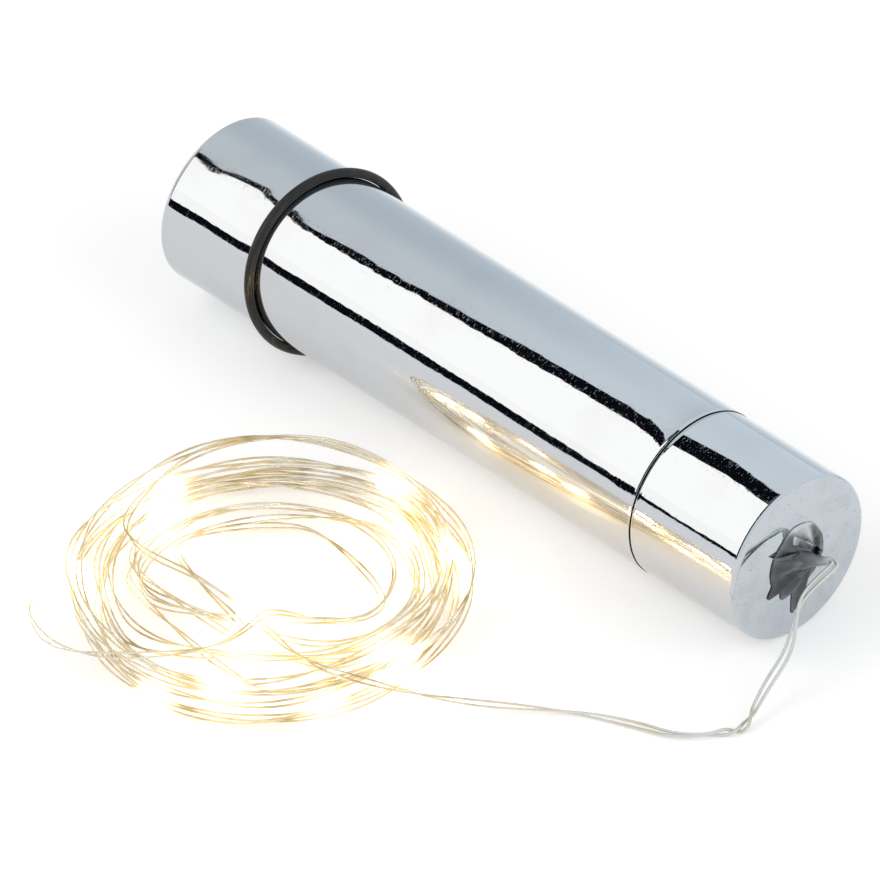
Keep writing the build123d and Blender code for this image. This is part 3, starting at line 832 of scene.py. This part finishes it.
string_silver, start = new_finish(
    "string_silver", {"Metallic": 1.0, "Coat Weight": 0.3, "Emission Strength": 1.6}
)
# Painted light: golden patches stand in for the LEDs' warm light mirrored in the wires, and dark patches
# for dark surroundings mirrored in them
plating_and_dark_reflection = grain(start, 3.4, 2.0)
enamel_and_warm_light = grain(start, 7.0, 2.0)
wire_tone = blended(between(enamel_and_warm_light, 0.35, 0.65, 0.0, 1.0), (0.79, 0.755, 0.67), (0.78, 0.62, 0.35))
wire_tone = blended(between(plating_and_dark_reflection, 0.48, 0.68, 0.0, 0.75), wire_tone, (0.385, 0.30, 0.165))
bare = painted(start, "bare")
feed(start, {"Base Color": blended(bare * (1.25 - plating_and_dark_reflection), wire_tone, (0.72, 0.715, 0.68))})
feed(start, {"Roughness": 0.2 + plating_and_dark_reflection * 0.18})
# Painted light: the wires glow warm near the LEDs, in place of the light the LEDs throw on them
lamp_tones = [(0.0, (0.0, 0.0, 0.0)), (0.3, (0.16, 0.11, 0.04)), (1.0, (1.0, 0.89, 0.64))]
feed(start, {"Emission Color": ramp(painted(start, "lit"), lamp_tones)})

wires = bpy.data.curves.new("string_wires", "CURVE")
wires.dimensions = "3D"
wires.bevel_depth = wire_r
wires.bevel_resolution = 2
wires.use_fill_caps = True
for wire_line in wire_lines:
    spline = wires.splines.new("POLY")
    spline.points.add(len(wire_line) - 1)
    for knot, point, travelled in zip(spline.points, wire_line, distances):
        knot.co = (*point, 1.0)
        knot.radius = thick_lead - (thick_lead - 1.0) * rising(travelled, *lead_fade)
wire_mesh = as_mesh(wires)
wire_mesh.shade_smooth()
wire_mesh.materials.clear()
wire_mesh.materials.append(string_silver)
wire_pair = bpy.data.objects.new("wire_pair", wire_mesh)
bpy.context.scene.collection.objects.link(wire_pair)
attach(wire_pair, "string_cap")
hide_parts("string_lead", "string_coil", "string_tail")

# LEDs: fifteen warm chips across the wire pair, each in a drop of clear epoxy that has run along
# the wires to a point at both ends. They are lit, as in the photograph.
led_count = 15
first_led = 72.0
last_led = string_length - 1.2
bead_length = 3.4
bead_d = 1.5
chip_length, chip_width, chip_t = 1.0, 0.5, 0.26
drops = bmesh.new()
glow = drops.verts.layers.float.new("glow")
chips = bmesh.new()
led_places = []
scale_along = distances[-1] / (string_length * mm)
for led in range(led_count):
    wanted = (first_led + (last_led - first_led) * led / (led_count - 1)) * mm * scale_along
    number = min(range(len(distances)), key=lambda index: abs(distances[index] - wanted))
    number = min(max(number, 1), len(string_path) - 2)
    heading = (string_path[number + 1] - string_path[number - 1]).normalized()
    level = heading.cross(Vector((0, 0, 1))).normalized()
    turn = Matrix((heading, level * -1.0, level.cross(heading))).transposed().to_4x4()
    place = Matrix.Translation(string_path[number]) @ turn @ Matrix.Scale(mm, 4)
    led_places.append(string_path[number])
    drop = bmesh.ops.create_uvsphere(drops, u_segments=16, v_segments=14, radius=0.5)["verts"]
    for corner in drop:
        lengthwise = corner.co.z * 2.0
        plump = (1.0 - 0.35 * abs(lengthwise) ** 1.5) * bead_d
        corner[glow] = 1.0 - abs(lengthwise)
        corner.co = (lengthwise * 0.5 * bead_length, corner.co.y * plump, corner.co.x * plump)
        corner.co = place @ corner.co
    chip_place = place @ Matrix.Translation((0, 0, 0.5 * string_d + 0.5 * chip_t))
    chip = bmesh.ops.create_cube(chips, size=1.0)["verts"]
    bmesh.ops.scale(chips, verts=chip, vec=(chip_length, chip_width, chip_t))
    edges = dict.fromkeys(edge for corner in chip for edge in corner.link_edges)
    made = bmesh.ops.bevel(
        chips, geom=list(edges), offset=0.05, offset_type="OFFSET", affect="EDGES", segments=2,
        profile=0.5, material=-1,
    )
    bevelled = {corner for face in made["faces"] for corner in face.verts}
    bmesh.ops.transform(chips, matrix=chip_place, verts=list(bevelled))
bmesh.ops.recalc_face_normals(drops, faces=drops.faces[:])

# Painted light: how near each point of the wires is to the LEDs sets its glow
lit_reach = 1.8 * mm
glow_reach = 6.5 * mm
glow_share = 0.16
bare_fade = (16.0 * mm, 34.0 * mm)
lit_layer = wire_mesh.attributes.new("lit", "FLOAT", "POINT")
bare_layer = wire_mesh.attributes.new("bare", "FLOAT", "POINT")
for number, vertex in enumerate(wire_mesh.vertices):
    away = [(vertex.co - place).length for place in led_places]
    light = sum(exp(-(gap / lit_reach) ** 2) + glow_share * exp(-(gap / glow_reach) ** 2) for gap in away)
    lit_layer.data[number].value = min(1.0, light)
    bare_layer.data[number].value = 1.0 - rising((vertex.co - glue_tip).length, *bare_fade)

bead_epoxy, start = new_finish(
    "bead_epoxy", {"Metallic": 0.0, "Base Color": (1.0, 0.93, 0.74, 1.0), "Emission Strength": 17.0}
)
haze = grain(start, 0.5, 2.0)
feed(start, {"Emission Color": blended(painted(start, "glow"), (0.85, 0.60, 0.28), (1.0, 0.86, 0.60))})
feed(start, {"Roughness": 0.12 + haze * 0.12, "Normal": bumped(haze, 0.02)})
led_drops = new_piece("led_drops", drops, Matrix.Identity(4), [bead_epoxy], 80.0)
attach(led_drops, "string_cap")
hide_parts("led_beads")

led_phosphor, start = new_finish("led_phosphor", {"Metallic": 0.0, "Emission Strength": 10.0})
powder = grain(start, 0.1, 2.0)
feed(start, {"Base Color": blended(powder, (0.90, 0.72, 0.25), (0.98, 0.84, 0.40))})
feed(start, {"Emission Color": blended(powder, (1.0, 0.80, 0.45), (1.0, 0.88, 0.60))})
feed(start, {"Roughness": 0.5 + powder * 0.2})
led_dies = new_piece("led_dies", chips, Matrix.Identity(4), [led_phosphor])
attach(led_dies, "string_cap")
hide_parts("led_chips")

# Studio: a white table under a tent of cloth. A white soft panel hangs in front of the tube in a
# black frame, a grey-blue backdrop stands behind, and a pale apron closes the front.
# Directions are degrees round the tube from +Y through up, and stations are those of the tube
# on which the camera sees that part of the tent.
tent_slope = 0.691
tent_far, tent_near = -70, 139
panel_r, frame_r, apron_r, backdrop_r = 600.0, 640.0, 760.0, 900.0
back_fray, front_fray = 1.7, 0.7
fray_step = 0.5
studio = bpy.context.scene.collection
uneven = random.Random(5)


def tent_point(station, direction, radius):
    """A point on the tent that the camera sees reflected at that station of the tube."""
    turn = radians(direction)
    return Vector((station - tent_slope * radius, radius * cos(turn), radius * sin(turn)))


def glowing(name, colour, strength):
    """Cloth that gives off an even light."""
    cloth = bpy.data.materials.new(name)
    cloth.use_nodes = True
    start = Signal(cloth.node_tree)
    cloth.node_tree.nodes.remove(cloth.node_tree.nodes["Principled BSDF"])
    light = start.node("ShaderNodeEmission", {}, {"Color": (*colour, 1.0), "Strength": strength})
    cloth.node_tree.links.new(light.socket, cloth.node_tree.nodes["Material Output"].inputs["Surface"])
    return cloth


def dye(colour):
    """Let a colour signal colour the cloth it belongs to."""
    colour.tree.links.new(colour.socket, colour.tree.nodes["Emission"].inputs["Color"])


def hang(name, shape, cloth):
    """Put a piece of the tent up where only reflections see it."""
    shape.transform(tube_place)
    mesh = bpy.data.meshes.new(name)
    shape.to_mesh(mesh)
    shape.free()
    mesh.materials.append(cloth)
    piece = bpy.data.objects.new(name, mesh)
    studio.objects.link(piece)
    piece.visible_camera = False
    piece.visible_diffuse = False
    piece.visible_shadow = False
    piece.visible_transmission = False


def drape(name, stations, directions, radius, cloth):
    """A curved piece of cloth between two stations and two directions."""
    shape = bmesh.new()
    ends = [shape.verts.new(tent_point(station, directions[0], radius)) for station in stations]
    shape.edges.new(ends)
    bmesh.ops.spin(
        shape, geom=shape.verts[:] + shape.edges[:], cent=(0, 0, 0), axis=(1, 0, 0),
        angle=radians(directions[1] - directions[0]), steps=36,
    )
    hang(name, shape, cloth)


def torn_edge(name, rows, radius, frayed, cloth):
    """A strip of cloth whose two edges follow rows of (station, first and second direction)."""
    shape = bmesh.new()
    edges = []
    for side in (1, 2):
        points = []
        for first, second in zip(rows, rows[1:]):
            count = max(1, int((second[0] - first[0]) / fray_step))
            for part in range(count):
                share = part / count
                station = first[0] + (second[0] - first[0]) * share
                direction = first[side] + (second[side] - first[side]) * share
                direction += uneven.uniform(-frayed, frayed)
                points.append(shape.verts.new(tent_point(station, direction, radius)))
        edges += [shape.edges.new(pair) for pair in zip(points, points[1:])]
    bmesh.ops.bridge_loops(shape, edges=edges)
    hang(name, shape, cloth)


# Edges of the two black gaps in which the frame shows: tent station, first and second direction
back_gap = [
    (tent_far, 101, 110), (-10.2, 102, 109.6), (-7.4, 105.8, 113.8), (-4.6, 104.8, 111.2),
    (-2, 99, 107.6), (0.7, 92.4, 102), (3.5, 101, 105.6), (6, 104, 109), (7.6, 98, 110.5),
    (9, 104.6, 112.4), (11.8, 107, 113.7), (18.2, 103.2, 112.2), (20.9, 101.4, 111.1),
    (23.7, 103.2, 111.2), (26.4, 101.3, 110.6), (31.8, 98.6, 108.1), (37.3, 96.3, 107.6),
    (40, 96.1, 106.6), (42.7, 93.5, 106.4), (48.2, 90.8, 104.2), (53.6, 88.6, 103.1), (61.8, 85.8, 101),
    (67.2, 83.6, 100), (78.0, 83.2, 99.4), (79.4, 77.3, 95.7), (80.0, 77, 95.6), (86.2, 72.8, 93.1),
    (88.9, 70.5, 92.4), (91.7, 73.7, 93.3), (97.2, 76, 96.4), (tent_near, 76, 96.4),
]
front_gap = [
    (tent_far, 171, 181.5), (-9.1, 171, 181.7), (-6.4, 169.8, 179.6), (1.7, 170.2, 180.1),
    (4.5, 168.1, 178), (9.9, 169.9, 180.2), (15.4, 168.7, 179.4), (20.9, 168.4, 178.8),
    (23.6, 167.8, 178.2), (29.1, 167.2, 177.9), (37.3, 166.7, 177.4), (42.8, 166.6, 176.4),
    (45.5, 166.8, 176), (51, 166.8, 176.8), (59.2, 167.2, 177.4), (64.6, 167.4, 177.1),
    (67.4, 167.7, 175.8), (72.8, 167.3, 175.5), (78.2, 166.8, 175.3), (79.0, 170.8, 175),
    (83.7, 171, 174.4), (97.4, 169.6, 174), (tent_near, 169.6, 174),
]
panel_back, panel_front = 119.0, 158.0
panel_lap = 1.0
frame_lap = 5.0
panel_back_rows = [(station, second, panel_back + panel_lap) for station, first, second in back_gap]
panel_front_rows = [(station, panel_front - panel_lap, first) for station, first, second in front_gap]
frame_back_rows = [(station, first, second + frame_lap) for station, first, second in back_gap]
frame_front_rows = [(station, first - frame_lap, second) for station, first, second in front_gap]
panel_white = glowing("panel_white", (1.0, 0.982, 0.955), 1.52)
panel_shade = glowing("panel_shade", (1.0, 0.982, 0.955), 1.45)
frame_black = glowing("frame_black", (0.004, 0.005, 0.008), 1.0)
torn_edge("panel_edge", panel_back_rows, panel_r, back_fray, panel_white)
torn_edge("panel_foot", panel_front_rows, panel_r, front_fray, panel_shade)
drape("soft_panel", (tent_far, tent_near), (panel_back, panel_front), panel_r, panel_white)
torn_edge("frame_back", frame_back_rows, frame_r, back_fray, frame_black)
torn_edge("frame_front", frame_front_rows, frame_r, front_fray, frame_black)
drape("frame_near", (tent_near, 205), (76.0, 174.0), frame_r, frame_black)
drape("frame_far", (-135, tent_far), (95.0, 181.0), frame_r, frame_black)
apron_cloth = glowing("apron_cloth", (0.94, 0.97, 1.0), 1.0)
drape("apron", (-2000, 2000), (172.0, 186.0), apron_r, apron_cloth)

backdrop_cloth = glowing("backdrop_cloth", (1.0, 1.0, 1.0), 1.0)
start = Signal(backdrop_cloth.node_tree)
spot = own_place(start)
level = start.node("ShaderNodeSeparateXYZ", {}, {"Vector": spot}, "Z")
reach = start.node("ShaderNodeSeparateXYZ", {}, {"Vector": spot}, "X")
backdrop_tones = [
    (0.0, (0.63, 0.72, 0.79)),
    (0.53, (0.61, 0.685, 0.745)),
    (0.74, (0.63, 0.705, 0.76)),
    (0.9, (0.70, 0.77, 0.815)),
    (0.98, (0.75, 0.805, 0.845)),
]
shaded = ramp(level * (1.0 / 0.9), backdrop_tones)
dye(blended(between(reach, -0.64, -0.565, 0.0, 0.65), shaded, (0.90, 1.0, 1.07)))
backdrop_left, backdrop_right = -2500, 2600
drape("backdrop", (backdrop_left, backdrop_right), (-4.0, 184.0), backdrop_r, backdrop_cloth)

# The backdrop's foot runs out on the table behind the tube, where it gets lighter
foot_cloth = glowing("foot_cloth", (1.0, 1.0, 1.0), 1.0)
start = Signal(foot_cloth.node_tree)
behind = start.node("ShaderNodeSeparateXYZ", {}, {"Vector": own_place(start)}, "Y")
foot_tones = [
    (0.15, (1.0, 1.02, 1.04)),
    (0.19, (0.92, 0.97, 1.02)),
    (0.27, (0.77, 0.85, 0.89)),
    (0.6, (0.68, 0.76, 0.84)),
    (1.0, (0.63, 0.72, 0.79)),
]
dye(ramp(behind * (1.0 / 0.2), foot_tones))
foot_front, foot_back, foot_level = 30, 920, -8.3
foot_corners = [
    (backdrop_left, foot_front), (backdrop_right, foot_front), (backdrop_right, foot_back),
    (backdrop_left, foot_back),
]
foot = bmesh.new()
foot.faces.new([foot.verts.new((*corner, foot_level)) for corner in foot_corners])
hang("backdrop_foot", foot, foot_cloth)


def seen_light(start):
    """1 for light that goes to the camera, directly or in metal or glass, and 0 for the rest."""
    outputs = ("Is Camera Ray", "Is Glossy Ray", "Is Transmission Ray")
    kinds = [start.node("ShaderNodeLightPath", {}, {}, name) for name in outputs]
    return start.math("MINIMUM", kinds[0] + kinds[1] + kinds[2], 1.0)


# Table: it shows as white, and the tube mirrors it a little darker, with the coil's warm light on it
table_half = 3.0
table_level = -0.00002
table_white, start = new_finish(
    "table_white", {"Base Color": (0.80, 0.80, 0.80, 1.0), "Roughness": 0.9, "Specular IOR Level": 0.0}
)
mirrored = start.node("ShaderNodeLightPath", {}, {}, "Is Glossy Ray")
coil_spot = (coil_middle.x * mm + 0.011, coil_middle.y * mm + 0.003, 0.0)
ends = {0: own_place(start), 1: coil_spot}
away = start.node("ShaderNodeVectorMath", {"operation": "DISTANCE"}, ends, "Value")
warmth = mirrored * between(away, 0.010, 0.036, 1.0, 0.0)
feed(start, {"Emission Color": blended(warmth, (1.0, 1.0, 1.0), (1.0, 0.76, 0.46))})
lift = seen_light(start) * 0.36 - mirrored * 0.1 + warmth * 0.22
feed(start, {"Emission Strength": lift})
table = bmesh.new()
bmesh.ops.create_grid(table, x_segments=2, y_segments=2, size=table_half)
table_top = new_piece("table_top", table, Matrix.Translation((0, 0, table_level)), [table_white])

world = bpy.data.worlds.new("studio_air")
bpy.context.scene.world = world
world.use_nodes = True
start = Signal(world.node_tree)
air = world.node_tree.nodes["Background"]
air.inputs["Color"].default_value = (1.0, 1.0, 1.0, 1.0)
room_light = 0.62
seen = seen_light(start)
world.node_tree.links.new((seen + (1.0 - seen) * room_light).socket, air.inputs["Strength"])

# Lamp name, place, width in metres, power in watts
for name, place, width, power in (
    ("front_lamp", (-0.35, -0.75, 0.95), 0.7, 3.4),
    ("side_lamp", (0.85, 0.15, 0.80), 0.6, 1.8),
):
    lamp_data = bpy.data.lights.new(name, "AREA")
    lamp_data.size = width
    lamp_data.energy = power
    lamp = bpy.data.objects.new(name, lamp_data)
    lamp.location = place
    lamp.rotation_mode = "QUATERNION"
    lamp.rotation_quaternion = (-Vector(place)).to_track_quat("-Z", "Y")
    lamp.visible_glossy = False
    lamp.visible_camera = False
    studio.objects.link(lamp)

# Camera: a long lens from in front, to the right and above, as in the photograph.
camera_place = Vector((1.13710, -1.08895, 1.19309))
camera_right = Vector((0.69351, 0.72037, -0.00993))
camera_up = Vector((-0.42904, 0.42404, 0.79756))
camera_back = Vector((0.57875, -0.54885, 0.60316))
camera_data = bpy.data.cameras.new("camera")
camera_data.sensor_width = 36.0
camera_data.lens = 841.28
camera_data.clip_start = 0.05
camera_data.clip_end = 30.0
camera = bpy.data.objects.new("camera", camera_data)
camera_turn = Matrix((camera_right, camera_up, camera_back)).transposed().to_4x4()
camera.matrix_world = Matrix.Translation(camera_place) @ camera_turn
studio.objects.link(camera)
bpy.context.scene.camera = camera
bpy.context.scene.view_settings.view_transform = "Standard"
